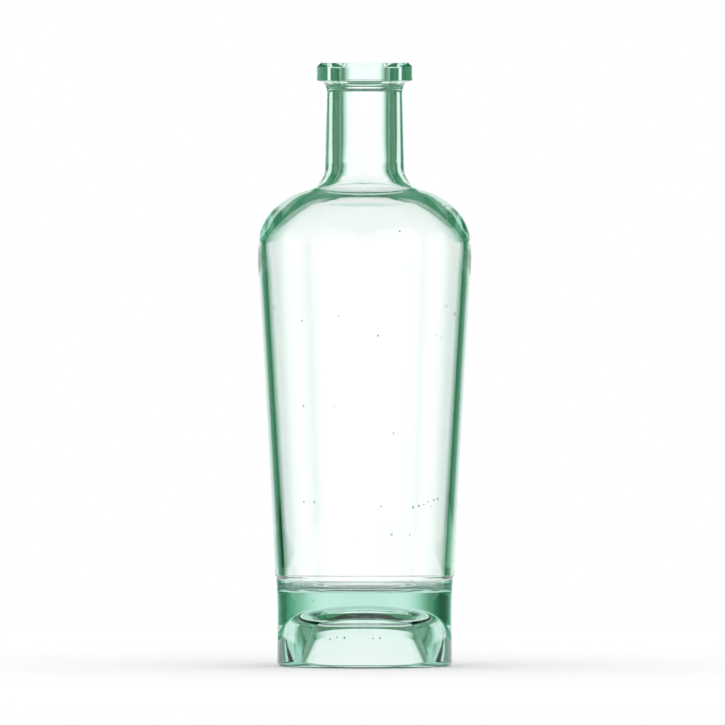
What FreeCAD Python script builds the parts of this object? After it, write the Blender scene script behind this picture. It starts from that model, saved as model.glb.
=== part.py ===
"""Empty, open half-litre bottle of pale green glass: one hollow piece, turned about its own axis.

The outline and the cavity of the wall make one closed half section. It runs from the crown of the
punt under the bottle, out over the foot, up the outside to the mouth, down the bore and the inside
wall, and along the floor back to the axis. A full turn about Z gives the solid.
Origin: centre of the foot, at the level the bottle stands on. +Z is up. Millimetres.
"""

import FreeCAD
import Part
import math
import os

# ---- driving dimensions -------------------------------------------------------------------
HEIGHT = 228.1             # foot to the top of the lip
BODY_RADIUS = 40.34        # widest place, just under the shoulder
BODY_WIDEST_Z = 157.2
BODY_TAPER_TOP_Z = 138.3   # the straight taper runs from here down to the base
BODY_FOOT_RADIUS = 33.9    # foot of the taper, where the base section begins
BODY_TAPER = 0.055         # growth of the radius per unit of height

BASE_TOP_Z = 34.15         # ledge between the tapered body and the plain base
BASE_LEDGE = 0.47          # how far the base stands back under the body
BASE_SPREAD = 0.06         # the base widens this fast just under the ledge
BASE_WAIST_RADIUS = 33.0
BASE_WAIST_Z = 13.5        # the plain base is narrowest here
HEEL_RADIUS = 33.05        # outside edge of the foot
HEEL_ROUNDING = 2.0

SHOULDER_CREASE_RADIUS = 19.13
SHOULDER_CREASE_Z = 181.35
SHOULDER_STATIONS = [      # radius and height, from the widest place up to the crease
    (39.5, 164.04),
    (37.57, 168.57),
    (34.78, 172.39),
    (31.75, 175.34),
    (28.73, 177.57),
    (25.7, 179.19),
    (22.68, 180.33),
]

NECK_FOOT_RADIUS = 14.95   # neck, just above the sweep into the shoulder
NECK_FOOT_Z = 189.4
NECK_MIDDLE_RADIUS = 14.55
NECK_MIDDLE_Z = 205.6
NECK_TOP_RADIUS = 14.22    # neck, just under the lip
NECK_SWEEP = [(17.77, 182.2), (16.48, 183.7), (15.38, 185.6)]

LIP_RADIUS = 18.09
LIP_HEIGHT = 6.8           # plain band of the lip, chamfer included
LIP_CHAMFER = 1.5
LIP_EDGE = 0.6             # small rounding under the lip
LIP_TOP_EDGE = 0.2
FLARE_HEIGHT = 4.5         # hollow sweep that carries the lip on the neck
FLARE_REACH = 1.45         # how far the sweep comes out from the neck
FLARE_START = 0.05         # slope of the sweep where it leaves the neck
FLARE_END_RISE = 0.85      # and where it runs out under the lip
FLARE_LEDGE = 0.9          # the flare meets the lip this far below its band

BORE_RADIUS = 9.73
MOUTH_CHAMFER = 1.65       # funnel at the top of the bore
BORE_FOOT_Z = 190.0        # the bore opens out below this
INNER_SHOULDER_STATIONS = [
    (11.15, 183.7),
    (15.3, 178.9),
    (22.68, 175.94),
    (28.73, 172.43),
    (34.78, 166.38),
    (37.08, 161.77),
    (37.5, 158.37),
    (37.3, 153.45),
]
INNER_TAPER_TOP_RADIUS = 36.7
INNER_TAPER_TOP_Z = 145.9
WALL_AT_BASE = 3.7         # foot of the straight taper
FLOOR_EDGE_Z = 29.9        # the dished floor reaches the wall here
FLOOR_CORNER = 1.6         # rounding between the wall and the floor
FLOOR_Z = 27.45            # middle of the inside floor
DISH_SHARE = 0.75          # the floor is dished within this share of its radius

PUNT_CROWN_Z = 23.5        # top of the hollow under the bottle
PUNT_CROWN_BEND = 54.0     # radius of the crown, which is part of a sphere
PUNT_CORNER = 10.4         # rounding between the crown and the conical wall
PUNT_WALL_LEAN = 0.385     # how far the wall comes in for each unit of height
PUNT_FOOT_RADIUS = 27.15
PUNT_EDGE = 1.0            # rounding between the hollow and the foot


def at(radius, z):
    """A point of the half section."""
    return FreeCAD.Vector(radius, 0.0, z)


def line(start, end):
    return Part.LineSegment(start, end).toShape()


def direction(start, end):
    return (end - start).normalize()


def sweep(points, start_slope, end_slope):
    """A smooth curve through a few stations, with its directions at both ends."""
    curve = Part.BSplineCurve()
    curve.interpolate(
        Points=points, InitialTangent=start_slope, FinalTangent=end_slope, Scale=False)
    return curve.toShape()


def rounded(corners, radii):
    """Straight runs through the corners, each inner corner turned with its own radius."""
    edges = []
    start = corners[0]
    for before, corner, after, radius in zip(corners, corners[1:], corners[2:], radii):
        back = direction(corner, before)
        ahead = direction(corner, after)
        half_angle = back.getAngle(ahead) / 2
        reach = radius / math.tan(half_angle)
        middle = (back + ahead).normalize() * (radius / math.sin(half_angle) - radius)
        arc_start = corner + back * reach
        arc_end = corner + ahead * reach
        edges.append(line(start, arc_start))
        edges.append(Part.Arc(arc_start, corner + middle, arc_end).toShape())
        start = arc_end
    edges.append(line(start, corners[-1]))
    return edges


def punt_edges():
    """The hollow under the bottle: a crown, a turned corner and a conical wall down to the foot."""
    crown_top = at(0.0, PUNT_CROWN_Z)
    crown_centre = at(0.0, PUNT_CROWN_Z - PUNT_CROWN_BEND)
    wall_foot = at(PUNT_FOOT_RADIUS, 0.0)
    wall_up = at(-PUNT_WALL_LEAN, 1.0).normalize()
    wall_in = at(-wall_up.z, wall_up.x)
    nearest = wall_foot + wall_in * PUNT_CORNER
    offset = nearest - crown_centre
    reach = PUNT_CROWN_BEND - PUNT_CORNER
    along = offset.dot(wall_up)
    climb = math.sqrt(reach ** 2 - offset.dot(offset) + along ** 2) - along
    corner_centre = nearest + wall_up * climb
    outward = direction(crown_centre, corner_centre)
    crown_edge = crown_centre + outward * PUNT_CROWN_BEND
    wall_top = corner_centre - wall_in * PUNT_CORNER
    corner_middle = corner_centre + (outward - wall_in).normalize() * PUNT_CORNER
    half_way = (direction(crown_centre, crown_top) + outward).normalize() * PUNT_CROWN_BEND
    heel_foot = at(HEEL_RADIUS, 0.0)
    heel_top = at(BASE_WAIST_RADIUS, BASE_WAIST_Z)
    return [
        Part.Arc(crown_top, crown_centre + half_way, crown_edge).toShape(),
        Part.Arc(crown_edge, corner_middle, wall_top).toShape(),
    ] + rounded([wall_top, wall_foot, heel_foot, heel_top], [PUNT_EDGE, HEEL_ROUNDING])


def outside_edges():
    """Base section, ledge, tapered body and shoulder, up to the crease at the neck."""
    waist = at(BASE_WAIST_RADIUS, BASE_WAIST_Z)
    base_top = at(BODY_FOOT_RADIUS - BASE_LEDGE, BASE_TOP_Z - BASE_LEDGE)
    taper_foot = at(BODY_FOOT_RADIUS, BASE_TOP_Z)
    taper_rise = BODY_TAPER_TOP_Z - BASE_TOP_Z
    taper_top = at(BODY_FOOT_RADIUS + taper_rise * BODY_TAPER, BODY_TAPER_TOP_Z)
    crease = at(SHOULDER_CREASE_RADIUS, SHOULDER_CREASE_Z)
    widest = at(BODY_RADIUS, BODY_WIDEST_Z)
    shoulder = [taper_top, widest] + [at(*station) for station in SHOULDER_STATIONS] + [crease]
    return [
        sweep([waist, base_top], direction(at(HEEL_RADIUS, 0.0), waist), at(BASE_SPREAD, 1.0).normalize()),
        line(base_top, taper_foot),
        line(taper_foot, taper_top),
        sweep(shoulder, direction(taper_foot, taper_top), direction(shoulder[-2], crease)),
    ]


def neck_edges():
    """Sweep out of the shoulder, slender neck, hollow flare and banded lip with its chamfer."""
    crease = at(SHOULDER_CREASE_RADIUS, SHOULDER_CREASE_Z)
    neck_sweep = [crease] + [at(*station) for station in NECK_SWEEP]
    neck_foot = at(NECK_FOOT_RADIUS, NECK_FOOT_Z)
    neck_middle = at(NECK_MIDDLE_RADIUS, NECK_MIDDLE_Z)
    lip_foot_z = HEIGHT - LIP_HEIGHT
    flare_top = at(NECK_TOP_RADIUS + FLARE_REACH, lip_foot_z - FLARE_LEDGE)
    neck_top = at(NECK_TOP_RADIUS, flare_top.z - FLARE_HEIGHT)
    lip = [
        flare_top,
        at(LIP_RADIUS, lip_foot_z),
        at(LIP_RADIUS, HEIGHT - LIP_CHAMFER),
        at(LIP_RADIUS - LIP_CHAMFER, HEIGHT),
        at(BORE_RADIUS + MOUTH_CHAMFER, HEIGHT),
    ]
    low_way = direction(neck_foot, neck_middle)
    high_way = direction(neck_middle, neck_top)
    return [
        sweep(neck_sweep + [neck_foot], direction(crease, neck_sweep[1]), low_way),
        sweep([neck_foot, neck_middle, neck_top], low_way, high_way),
        sweep([neck_top, flare_top], at(FLARE_START, 1.0).normalize(), at(1.0, FLARE_END_RISE).normalize()),
    ] + rounded(lip, [LIP_EDGE, LIP_TOP_EDGE, LIP_TOP_EDGE])


def inside_edges():
    """Mouth funnel, bore, inside of the shoulder and body, rounded corner and floor."""
    mouth = at(BORE_RADIUS + MOUTH_CHAMFER, HEIGHT)
    bore_top = at(BORE_RADIUS, HEIGHT - MOUTH_CHAMFER)
    bore_foot = at(BORE_RADIUS, BORE_FOOT_Z)
    stations = [at(*station) for station in INNER_SHOULDER_STATIONS]
    taper_top = at(INNER_TAPER_TOP_RADIUS, INNER_TAPER_TOP_Z)
    foot_rise = FLOOR_EDGE_Z - BASE_TOP_Z
    wall_foot = at(BODY_FOOT_RADIUS + foot_rise * BODY_TAPER - WALL_AT_BASE, FLOOR_EDGE_Z)
    taper = direction(taper_top, wall_foot)
    floor = at(0.0, FLOOR_Z)
    dish = at(wall_foot.x * DISH_SHARE, FLOOR_Z + (FLOOR_EDGE_Z - FLOOR_Z) * DISH_SHARE ** 2)
    corner = rounded([taper_top, wall_foot, dish], [FLOOR_CORNER])
    return [
        line(mouth, bore_top),
        line(bore_top, bore_foot),
        sweep([bore_foot] + stations + [taper_top], at(0.0, -1.0), taper),
    ] + corner + [sweep([dish, floor], direction(wall_foot, dish), at(-1.0, 0.0))]


def bottle():
    """Turn the closed half section about the axis."""
    edges = punt_edges() + outside_edges() + neck_edges() + inside_edges()
    edges.append(line(at(0.0, FLOOR_Z), at(0.0, PUNT_CROWN_Z)))
    section = Part.Face(Part.Wire(edges))
    solid = section.revolve(FreeCAD.Vector(0, 0, 0), FreeCAD.Vector(0, 0, 1), 360)
    if solid.ShapeType != "Solid":
        solid = solid.Solids[0]
    return solid


glass = bottle()
if not glass.isValid():
    raise ValueError("the bottle's solid is not valid")
os.makedirs("parts", exist_ok=True)
glass.exportStep("parts/bottle.step")
box = glass.BoundBox
print(f"bottle: {box.XLength:.2f} x {box.YLength:.2f} x {box.ZLength:.2f} mm")
print(f"glass volume {glass.Volume / 1000:.1f} cm3, mass at 2.5 g/cm3 {glass.Volume * 0.0025:.0f} g")
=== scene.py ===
"""An empty, open half-litre bottle of pale green glass, standing in a plain white studio.

Lengths are in metres, +Z is up, and the bottle stands on Z = 0 with its axis on Z.
"""
import math
import random

import bmesh
import bpy
import numpy as np
from mathutils import Matrix, Vector


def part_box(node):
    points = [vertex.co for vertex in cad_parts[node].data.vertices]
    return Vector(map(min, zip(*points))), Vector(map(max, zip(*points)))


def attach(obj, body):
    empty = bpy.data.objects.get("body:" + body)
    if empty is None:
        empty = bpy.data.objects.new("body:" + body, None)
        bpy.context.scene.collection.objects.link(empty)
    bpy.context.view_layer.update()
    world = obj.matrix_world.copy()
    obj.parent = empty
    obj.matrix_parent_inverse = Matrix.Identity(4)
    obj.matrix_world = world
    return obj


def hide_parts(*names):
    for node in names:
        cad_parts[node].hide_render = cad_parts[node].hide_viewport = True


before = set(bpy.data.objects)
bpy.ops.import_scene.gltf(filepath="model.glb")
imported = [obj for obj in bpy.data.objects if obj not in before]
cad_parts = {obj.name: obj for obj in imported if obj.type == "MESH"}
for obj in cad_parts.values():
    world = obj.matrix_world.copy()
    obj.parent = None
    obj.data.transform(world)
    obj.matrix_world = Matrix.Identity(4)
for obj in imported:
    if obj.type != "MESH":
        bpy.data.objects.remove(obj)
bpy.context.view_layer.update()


# ---- The bottle -----------------------------------------------------------------------------
# The whole bottle is one piece of clear soda-lime glass, shaped in a round mould, so it is one
# closed half section turned about the axis. Its pale sea green comes only from how far light
# goes inside the glass. Stations of the section are (radius, height) in millimetres.
MM = 0.001
FOOT_LOW, MOUTH_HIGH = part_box("bottle")
BOTTLE_HEIGHT = (MOUTH_HIGH.z - FOOT_LOW.z) / MM
BODY_TAPER = 0.055             # how fast the body widens upwards
SIDES = 180                    # of the turned mesh
GLASS_BENDS_LIGHT = 1.45       # its refractive index
HEEL, WAIST = (33.05, 0.0), (33.0, 13.5)
NECK_CREASE = (19.13, 181.35)
MOUTH_EDGE = (11.38, BOTTLE_HEIGHT)


def straight(start, end, steps=14):
    """A straight run, with its points closer together at both ends."""
    shares = [(1 - math.cos(math.pi * step / steps)) / 2 for step in range(steps + 1)]
    return [tuple(a + (b - a) * share for a, b in zip(start, end)) for share in shares]


def unit(vector):
    """The same way with a length of 1."""
    vector = np.array(vector, float)
    return vector / np.linalg.norm(vector)


def turn(before, corner, after, radius, steps=8):
    """The arc of a radius that rounds the corner between two straight runs."""
    back = unit(np.subtract(before, corner))
    ahead = unit(np.subtract(after, corner))
    half_angle = math.acos(np.clip(np.dot(back, ahead), -1, 1)) / 2
    start = np.array(corner) + back * radius / math.tan(half_angle)
    centre = np.array(corner) + unit(back + ahead) * radius / math.sin(half_angle)
    first = start - centre
    side = np.array([-first[1], first[0]])
    if np.dot(side, np.subtract(corner, start)) < 0:
        side = -side
    angles = [(math.pi - 2 * half_angle) * step / steps for step in range(steps + 1)]
    return [tuple(centre + first * math.cos(angle) + side * math.sin(angle)) for angle in angles]


def sweep(stations, start_way, end_way, spacing=0.9):
    """A cubic spline through the stations that leaves and arrives in the ways given."""
    points = np.array(stations, float)
    spans = np.linalg.norm(np.diff(points, axis=0), axis=1)
    count = len(points)
    system = np.zeros((count, count))
    sides = np.zeros((count, 2))
    system[0, 0] = system[-1, -1] = 1
    sides[0], sides[-1] = unit(start_way), unit(end_way)
    for i in range(1, count - 1):
        system[i, i - 1:i + 2] = spans[i], 2 * (spans[i - 1] + spans[i]), spans[i - 1]
        rise_before = (points[i] - points[i - 1]) / spans[i - 1]
        rise_after = (points[i + 1] - points[i]) / spans[i]
        sides[i] = 3 * (spans[i] * rise_before + spans[i - 1] * rise_after)
    ways = np.linalg.solve(system, sides)
    curve = [tuple(points[0])]
    for i, span in enumerate(spans):
        steps = max(2, math.ceil(span / spacing))
        for step in range(1, steps + 1):
            t = step / steps
            curve.append(tuple(
                points[i] * (2 * t**3 - 3 * t**2 + 1) + points[i + 1] * (3 * t**2 - 2 * t**3)
                + ways[i] * span * (t**3 - 2 * t**2 + t) + ways[i + 1] * span * (t**3 - t**2)
            ))
    return curve


def rounded(corners, radii):
    """Straight runs through the corners, with each inner corner turned by its own radius."""
    outline = []
    start = corners[0]
    for before, corner, after, radius in zip(corners, corners[1:], corners[2:], radii):
        arc = turn(before, corner, after, radius)
        outline += straight(start, arc[0]) + arc
        start = arc[-1]
    return outline + straight(start, corners[-1])


def slope(start, end):
    """The way from one point to another."""
    return unit(np.subtract(end, start))


def bent(centre, start, end, steps):
    """The shorter arc about a centre, from one point to another."""
    first = math.atan2(start[1] - centre[1], start[0] - centre[0])
    last = math.atan2(end[1] - centre[1], end[0] - centre[0])
    radius = math.dist(centre, start)
    angles = [first + (last - first) * step / steps for step in range(steps + 1)]
    return [(centre[0] + radius * math.cos(angle), centre[1] + radius * math.sin(angle))
            for angle in angles]


def punt_and_foot():
    """The crown of the hollow, its turned corner and conical wall, and the ring it stands on."""
    crown_z, crown_bend, corner_bend = 23.5, 54.0, 10.4
    wall_foot, wall_lean = (27.15, 0.0), 0.385
    foot_edge, heel_rounding = 1.0, 2.0
    wall_up = unit((-wall_lean, 1.0))
    wall_in = np.array([-wall_up[1], wall_up[0]])
    crown_centre = np.array([0.0, crown_z - crown_bend])
    nearest = wall_foot + wall_in * corner_bend
    offset = nearest - crown_centre
    along = offset.dot(wall_up)
    climb = math.sqrt((crown_bend - corner_bend)**2 - offset.dot(offset) + along**2) - along
    corner_centre = nearest + wall_up * climb
    crown_edge = crown_centre + unit(corner_centre - crown_centre) * crown_bend
    wall_top = corner_centre - wall_in * corner_bend
    return (
        bent(crown_centre, (0.0, crown_z), crown_edge, 24)
        + bent(corner_centre, crown_edge, wall_top, 16)
        + rounded([wall_top, wall_foot, HEEL, WAIST], [foot_edge, heel_rounding])
    )


def outside():
    """Plain base, ledge, tapered body and round shoulder, up to the crease at the neck."""
    base_top, taper_foot, taper_top_z = (33.43, 33.68), (33.9, 34.15), 138.3
    taper_top = (taper_foot[0] + (taper_top_z - taper_foot[1]) * BODY_TAPER, taper_top_z)
    shoulder = [
        taper_top, (40.34, 157.2), (39.5, 164.04), (37.57, 168.57), (34.78, 172.39),
        (31.75, 175.34), (28.73, 177.57), (25.7, 179.19), (22.68, 180.33), NECK_CREASE,
    ]
    return (
        sweep([WAIST, base_top], slope(HEEL, WAIST), (0.06, 1))
        + straight(base_top, taper_foot, 4)
        + straight(taper_foot, taper_top, 24)
        + sweep(shoulder, slope(taper_foot, taper_top), slope(shoulder[-2], shoulder[-1]))
    )


def neck_and_lip():
    """Sweep out of the shoulder, slender neck, hollow flare, and the banded lip."""
    top = BOTTLE_HEIGHT
    foot_sweep = [NECK_CREASE, (17.77, 182.2), (16.48, 183.7), (15.38, 185.6), (14.95, 189.4)]
    middle, flare_foot, flare_top = (14.55, 205.6), (14.22, top - 12.2), (15.67, top - 7.7)
    low_way = slope(foot_sweep[-1], middle)
    high_way = slope(middle, flare_foot)
    lip = [flare_top, (18.09, top - 6.8), (18.09, top - 1.5), (16.59, top), MOUTH_EDGE]
    lip_roundings = [0.6, 0.2, 0.2]
    return (
        sweep(foot_sweep, slope(foot_sweep[0], foot_sweep[1]), low_way)
        + sweep([foot_sweep[-1], middle, flare_foot], low_way, high_way, 1.5)
        + sweep([flare_foot, flare_top], (0.05, 1), (1, 0.85), 0.4)
        + rounded(lip, lip_roundings)
    )


def evenly(points, count):
    """Points at even steps along a dense outline."""
    points = np.array(points)
    runs = np.concatenate([[0], np.cumsum(np.linalg.norm(np.diff(points, axis=0), axis=1))])
    steps = np.linspace(0, runs[-1], count)
    return list(zip(np.interp(steps, runs, points[:, 0]), np.interp(steps, runs, points[:, 1])))


def floor_of_cavity(wall_foot, floor_z):
    """A nearly flat floor that turns up the wall in a tall, tight corner."""
    rise = wall_foot[1] - floor_z
    reach_power, rise_power = 0.265, 0.44      # lower is tighter
    steps, points_kept = 2000, 72
    corner = []
    for step in range(steps):
        angle = math.pi / 2 * step / steps
        corner.append((wall_foot[0] * math.cos(angle)**reach_power,
                       wall_foot[1] - rise * math.sin(angle)**rise_power))
    return evenly(corner + [(0.0, floor_z)], points_kept)


def inside():
    """Mouth funnel, bore, inside of the shoulder and body, and the floor."""
    bore_top, bore_foot = (9.73, BOTTLE_HEIGHT - 1.65), (9.73, 190.0)
    taper_top, wall_foot, floor_z = (36.7, 145.9), (30.41, 37.5), 28.04
    shoulder = [
        bore_foot, (11.15, 183.7), (15.3, 178.9), (22.68, 175.94), (28.73, 172.43),
        (34.78, 166.38), (37.08, 161.77), (37.5, 158.37), (37.3, 153.45), taper_top,
    ]
    return (
        straight(MOUTH_EDGE, bore_top, 6)
        + straight(bore_top, bore_foot)
        + sweep(shoulder, (0, -1), slope(taper_top, wall_foot))
        + straight(taper_top, wall_foot, 24)
        + floor_of_cavity(wall_foot, floor_z)
    )


def without_repeats(points, least=0.02):
    """The same outline without points that fall on the one before."""
    kept = [points[0]]
    for point in points[1:]:
        if math.dist(point, kept[-1]) > least:
            kept.append(point)
    return kept


def turned(name, section):
    """A lathe mesh of a half section whose first and last points lie on the axis."""
    vertices = [(0.0, 0.0, section[0][1] * MM)]
    for radius, z in section[1:-1]:
        for side in range(SIDES):
            angle = 2 * math.pi * side / SIDES
            vertices.append((radius * MM * math.cos(angle), radius * MM * math.sin(angle), z * MM))
    vertices.append((0.0, 0.0, section[-1][1] * MM))
    last = len(vertices) - 1
    rings = len(section) - 2
    faces = []
    for side in range(SIDES):
        after = (side + 1) % SIDES
        faces.append((0, 1 + after, 1 + side))
        for ring in range(rings - 1):
            low = 1 + ring * SIDES
            high = low + SIDES
            faces.append((low + side, low + after, high + after, high + side))
        top = 1 + (rings - 1) * SIDES
        faces.append((top + side, top + after, last))
    mesh = bpy.data.meshes.new(name)
    mesh.from_pydata(vertices, [], faces)
    mesh.shade_smooth()
    piece = bpy.data.objects.new(name, mesh)
    bpy.context.scene.collection.objects.link(piece)
    return piece


class Value:
    """A socket of a node tree, so that shader maths reads as Python."""

    def __init__(self, socket):
        self.socket = socket

    @staticmethod
    def fill(node, inputs):
        """Gives the sockets of a node their values or links."""
        for place, value in inputs.items():
            if isinstance(value, Value):
                node.id_data.links.new(value.socket, node.inputs[place])
            else:
                node.inputs[place].default_value = value
        return node

    @staticmethod
    def node(tree, kind, settings=None, inputs=None):
        """A new node, with its settings first and then its sockets."""
        node = tree.nodes.new(kind)
        for name, value in (settings or {}).items():
            setattr(node, name, value)
        return Value.fill(node, inputs or {})

    def maths(self, operation, *others):
        """A Math node on this value, and on others where it takes them."""
        tree = self.socket.id_data
        operands = dict(enumerate((self, *others)))
        return Value(Value.node(tree, "ShaderNodeMath", {"operation": operation}, operands).outputs[0])

    def __add__(self, other):
        return self.maths("ADD", other)

    def __sub__(self, other):
        return self.maths("SUBTRACT", other)

    def __mul__(self, other):
        return self.maths("MULTIPLY", other)

    def __pow__(self, power):
        return self.maths("POWER", power)

    def __radd__(self, other):
        return self.maths("ADD", other)

    def __rsub__(self, other):
        return self.maths("MULTIPLY_ADD", -1.0, other)

    def __rmul__(self, other):
        return self.maths("MULTIPLY", other)

    def rise(self, start, end):
        """0 below start and 1 above end, with a smooth change between."""
        node = Value.node(self.socket.id_data, "ShaderNodeMapRange",
                          {"interpolation_type": "SMOOTHSTEP"},
                          {"Value": self, "From Min": start, "From Max": end})
        return Value(node.outputs["Result"])

    def band(self, start, end, soft=1.0):
        """1 between start and end, and 0 outside."""
        return self.rise(start - soft / 2, start + soft / 2) * (
            1 - self.rise(end - soft / 2, end + soft / 2))

    def towards(self, other, share):
        """This value, blended into another by a share."""
        return self + (other - self) * share


def material_of(name, inputs):
    """A material whose main shader has these values."""
    material = bpy.data.materials.new(name)
    material.use_nodes = True
    Value.fill(material.node_tree.nodes["Principled BSDF"], inputs)
    return material


def clear_glass(name):
    """Smooth glass without any tint of its own."""
    return material_of(name, {
        "Base Color": (1, 1, 1, 1),
        "Roughness": 0.0,
        "IOR": GLASS_BENDS_LIGHT,
        "Transmission Weight": 1.0,
    })


half_section = without_repeats(punt_and_foot() + outside() + neck_and_lip() + inside())
bottle = turned("bottle_glass", half_section)

glass = clear_glass("pale_green_glass")
glass_tree = glass.node_tree
tint = Value.node(glass_tree, "ShaderNodeVolumeAbsorption", None,
                  {"Color": (0.0, 0.634, 0.438, 1), "Density": 11.85})
Value.fill(glass_tree.nodes["Material Output"], {"Volume": Value(tint.outputs["Volume"])})

# The skin is not quite even: long, faint waves run up and down it.
place = Value.node(glass_tree, "ShaderNodeTexCoord")
drawn_out = Value.node(glass_tree, "ShaderNodeMapping", None,
                       {"Vector": Value(place.outputs["Object"]), "Scale": (60, 60, 14)})
waves = Value.node(glass_tree, "ShaderNodeTexNoise", None,
                   {"Vector": Value(drawn_out.outputs["Vector"]), "Scale": 1.0, "Detail": 1.0})
skin = Value.node(glass_tree, "ShaderNodeBump", None,
                  {"Height": Value(waves.outputs["Fac"]), "Strength": 0.1, "Distance": 0.0002})
Value.fill(glass_tree.nodes["Principled BSDF"], {"Normal": Value(skin.outputs["Normal"])})

bottle.data.materials.append(glass)
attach(bottle, "root")
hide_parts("bottle")


# ---- The seed bubbles -----------------------------------------------------------------------
# Tiny bubbles of air, caught while the glass was molten: in the front of the body, the right of
# the shoulder and the thick base. Each is a hollow, so its skin faces inwards. Places are
# (x, height) in millimetres as seen from the front, and lie in the middle of the glass.
WALL_BUBBLES = [
    (-34.7, 135.9), (-33.2, 135.9), (-23.2, 131.2), (-9.7, 133.2), (5.0, 125.7), (26.6, 125.5),
    (28.1, 124.7), (30.0, 136.6), (33.0, 133.4), (-22.6, 99.0), (-36.3, 97.3), (-33.6, 97.7),
    (-32.4, 98.1), (-11.2, 99.0), (10.7, 88.8), (-22.4, 62.7), (-18.6, 62.7), (6.1, 61.2),
    (17.9, 60.7), (20.0, 61.2), (21.8, 61.8), (23.5, 62.6), (25.4, 63.3), (26.8, 63.7),
    (30.3, 63.5), (24.6, 61.0), (34.3, 61.0), (10.0, 50.6), (16.7, 50.5), (13.0, 164.8),
    (28.9, 175.8), (30.4, 174.6), (30.4, 173.3), (33.4, 172.7), (33.0, 171.6), (32.1, 171.4),
    (31.7, 169.9),
]
BASE_BUBBLES = [
    (-31.2, 25.3), (-18.9, 25.3), (31.1, 26.8), (6.2, 29.1), (9.5, 28.6), (-10.1, 11.7),
    (-7.4, 11.5), (-12.7, 10.9), (3.2, 11.3), (5.6, 11.4), (18.5, 11.1),
]
BASE_RING = 30.5               # radius of the ring that the bubbles in the base lie on
BUBBLE_RADII = (0.26, 0.44)
BUBBLE_STRETCH = (0.8, 1.3)    # how much longer than wide


def middle_of_wall(z):
    """The radius of the middle of the wall's thickness at a height."""
    heights = [34.15, 138.3, 157.2, 164.0, 168.6, 172.4, 175.3, 177.6]
    radii = [32.0, 37.8, 38.9, 38.0, 36.0, 33.2, 30.2, 27.2]
    return float(np.interp(z, heights, radii))


chance = random.Random(11)
hollows = bmesh.new()
for x, z in WALL_BUBBLES + BASE_BUBBLES:
    ring = BASE_RING if (x, z) in BASE_BUBBLES else middle_of_wall(z)
    if abs(x) > ring:
        ring = abs(x) + 0.3    # right at the edge, a little nearer to the skin
    centre = Vector((x, -math.sqrt(ring**2 - x**2), z)) * MM
    radius = chance.uniform(*BUBBLE_RADII) * MM
    stretch = Matrix.Diagonal((1, 1, chance.uniform(*BUBBLE_STRETCH), 1))
    bmesh.ops.create_icosphere(hollows, subdivisions=2, radius=radius,
                               matrix=Matrix.Translation(centre) @ stretch)
bmesh.ops.reverse_faces(hollows, faces=hollows.faces)
bubble_mesh = bpy.data.meshes.new("seed_bubbles")
hollows.to_mesh(bubble_mesh)
hollows.free()
bubble_mesh.shade_smooth()
bubble_mesh.materials.append(clear_glass("trapped_air"))
bubbles = bpy.data.objects.new("seed_bubbles", bubble_mesh)
bpy.context.scene.collection.objects.link(bubbles)
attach(bubbles, "root")


# ---- The studio -----------------------------------------------------------------------------
# A round white floor in a dim room, whose light comes from windows at both sides and behind the
# camera, two soft boxes in front and two lit panels behind the bottle. Only the glass sees how
# they differ: to the camera and the floor, the room is plain white.
world = bpy.data.worlds.new("studio")
bpy.context.scene.world = world
world.use_nodes = True
room = world.node_tree
way = Value.node(room, "ShaderNodeTexCoord")
parts = Value.node(room, "ShaderNodeSeparateXYZ", None, {0: Value(way.outputs["Generated"])})
across, along, up = (Value(parts.outputs[axis]) for axis in "XYZ")
DEGREES = 180 / math.pi
bearing = across.maths("ARCTAN2", along) * DEGREES      # 0 behind the bottle, + to the right
climb = up.maths("ARCSINE") * DEGREES                   # above level

# The windows are at the quarter turns, but not behind the bottle. Overhead it is dark, and below
# the far edge of the floor it is nearly as light as the floor.
from_middle = bearing.maths("ABSOLUTE")
from_window = (bearing + 360).maths("PINGPONG", 45)
window = (1 - from_window.rise(8, 20)) * from_middle.rise(60, 68)
level_light = 0.17 + 0.83 * window
high_light = (0.21 - 0.18 * from_middle.rise(60, 75)).towards(1, window * (1 - climb.rise(16, 30)))
light = level_light.towards(high_light, climb.rise(4, 8)) * (1 - climb.rise(50, 56))
light = light.towards(0.9, 1 - climb.rise(-14, -11))

# The soft boxes, one on each side of the camera.
boxes_climb = climb.band(-12, 40)
right_box = bearing.band(115, 167.4) * boxes_climb * 1.6
left_box = bearing.band(-169.2, -127.2) * boxes_climb * 0.9
boxes = right_box + left_box

ROOM_BRIGHTNESS = 1.17
DIM_POWERS = (1.95, 1.0, 1.42)     # of red, green and blue: dimmer light is greener


def colour_of(red, green, blue):
    """A colour from the values of its channels."""
    mixed = Value.node(red.socket.id_data, "ShaderNodeCombineColor", None,
                       {"Red": red, "Green": green, "Blue": blue})
    return Value(mixed.outputs["Color"])


seen_by_glass = colour_of(*(ROOM_BRIGHTNESS * light ** power + boxes for power in DIM_POWERS))
light_path = Value.node(room, "ShaderNodeLightPath")
camera_ray = Value(light_path.outputs["Is Camera Ray"])
diffuse_ray = Value(light_path.outputs["Is Diffuse Ray"])
shown = Value.node(room, "ShaderNodeMix", {"data_type": "RGBA"}, {
    0: camera_ray.maths("MAXIMUM", diffuse_ray),
    "A": seen_by_glass,
    "B": (1, 1, 1, 1),
})
Value.fill(room.nodes["Background"], {"Color": Value(shown.outputs["Result"]), "Strength": 1.0})

FLOOR_RADIUS = 0.45
bpy.ops.mesh.primitive_circle_add(vertices=96, radius=FLOOR_RADIUS, fill_type="NGON")
floor = bpy.context.object
floor.name = "floor"
floor.data.materials.append(material_of("white_paper", {
    "Base Color": (1, 1, 1, 1),
    "Roughness": 1.0,
    "Specular IOR Level": 0.0,
}))

PANEL_BRIGHTNESS = 1.1
WINDOW_PANEL = (0.33, 0.272)       # width and height
LOW_PANEL = (1.2, 0.034)
BEHIND = 0.3                       # from the axis of the bottle to the window panel, in metres
NEARER = 0.002                     # how far the low panel stands in front of it


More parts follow.
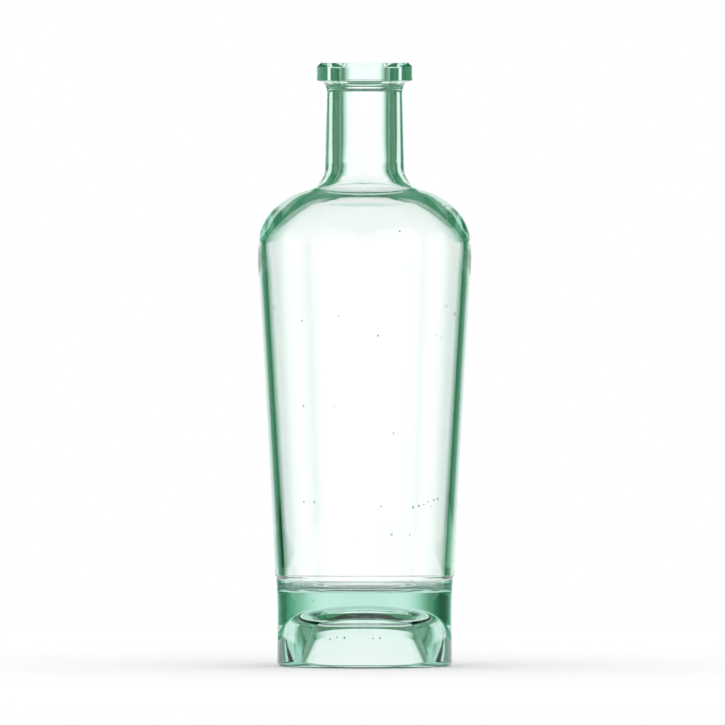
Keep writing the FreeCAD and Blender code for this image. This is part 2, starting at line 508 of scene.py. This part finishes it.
def light_panel(name, size, behind):
    """An upright sheet of light that stands on the floor: its material's nodes, and places on it.

    A place is how far it lies to the right of the middle, and how high above the foot.
    """
    width, height = size
    bpy.ops.mesh.primitive_plane_add(size=1, location=(0, behind, height / 2),
                                     rotation=(math.pi / 2, 0, 0))
    panel = bpy.context.object
    panel.name = name
    panel.scale = (width, height, 1)
    panel.visible_camera = False
    panel.visible_diffuse = False
    panel.visible_shadow = False
    glow = material_of(name, {
        "Base Color": (0, 0, 0, 1),
        "Roughness": 1.0,
        "Specular IOR Level": 0.0,
        "Emission Strength": PANEL_BRIGHTNESS,
    })
    panel.data.materials.append(glow)
    tree = glow.node_tree
    place = Value.node(tree, "ShaderNodeTexCoord")
    parts = Value.node(tree, "ShaderNodeSeparateXYZ", None, {0: Value(place.outputs["Object"])})
    out = Value(parts.outputs["X"]) * width
    lift = (Value(parts.outputs["Y"]) + 0.5) * height
    return tree, out, lift


def fade(tree, level):
    """Gives a panel a level of light that changes across it."""
    colour = colour_of(*(level ** power for power in DIM_POWERS))
    Value.fill(tree.nodes["Principled BSDF"], {"Emission Color": colour})


# The window panel fades towards its sides, and is narrower behind the neck.
panel, out, lift = light_panel("window_panel", WINDOW_PANEL, BEHIND)
reach = out.maths("ABSOLUTE") + 0.045 * lift.rise(0.165, 0.19)
fade(panel, 1 - 0.5 * reach.rise(0.1, 0.168) - 0.32 * reach.rise(0.16, 0.172))

# The low panel, behind the base, is wide and fades sooner on the left.
panel, out, _ = light_panel("low_panel", LOW_PANEL, BEHIND - NEARER)
right_fade = 1 - 0.55 * out.rise(0.07, 0.2) - 0.4 * out.rise(0.17, 0.4)
left_fade = 1 - 0.75 * (0 - out).rise(0.07, 0.19) - 0.22 * (0 - out).rise(0.17, 0.3)
fade(panel, right_fade * left_fade)


# ---- The camera -----------------------------------------------------------------------------
# A long lens far away, almost level with the bottle. The picture is plain, with no tone curve,
# and light may pass through many skins of glass before it is given up.
CAMERA_RISE = math.radians(1.3)
CAMERA_DISTANCE = 12.0
PICTURE_WIDTH = 0.27405            # what the picture takes in, at the bottle
SENSOR_WIDTH = 36
AIM = Vector((-0.0008, 0.0, 0.1147))
GLASS_BOUNCES = 24
camera_data = bpy.data.cameras.new("camera")
camera_data.sensor_width = SENSOR_WIDTH
camera_data.lens = SENSOR_WIDTH * CAMERA_DISTANCE / PICTURE_WIDTH
camera_data.clip_end = 100
camera = bpy.data.objects.new("camera", camera_data)
camera.location = AIM + CAMERA_DISTANCE * Vector((0, -math.cos(CAMERA_RISE), math.sin(CAMERA_RISE)))
camera.rotation_euler = (math.pi / 2 - CAMERA_RISE, 0, 0)
bpy.context.scene.collection.objects.link(camera)
bpy.context.scene.camera = camera
bpy.context.scene.view_settings.view_transform = "Standard"
bpy.context.scene.cycles.max_bounces = GLASS_BOUNCES
bpy.context.scene.cycles.glossy_bounces = GLASS_BOUNCES
bpy.context.scene.cycles.transmission_bounces = GLASS_BOUNCES
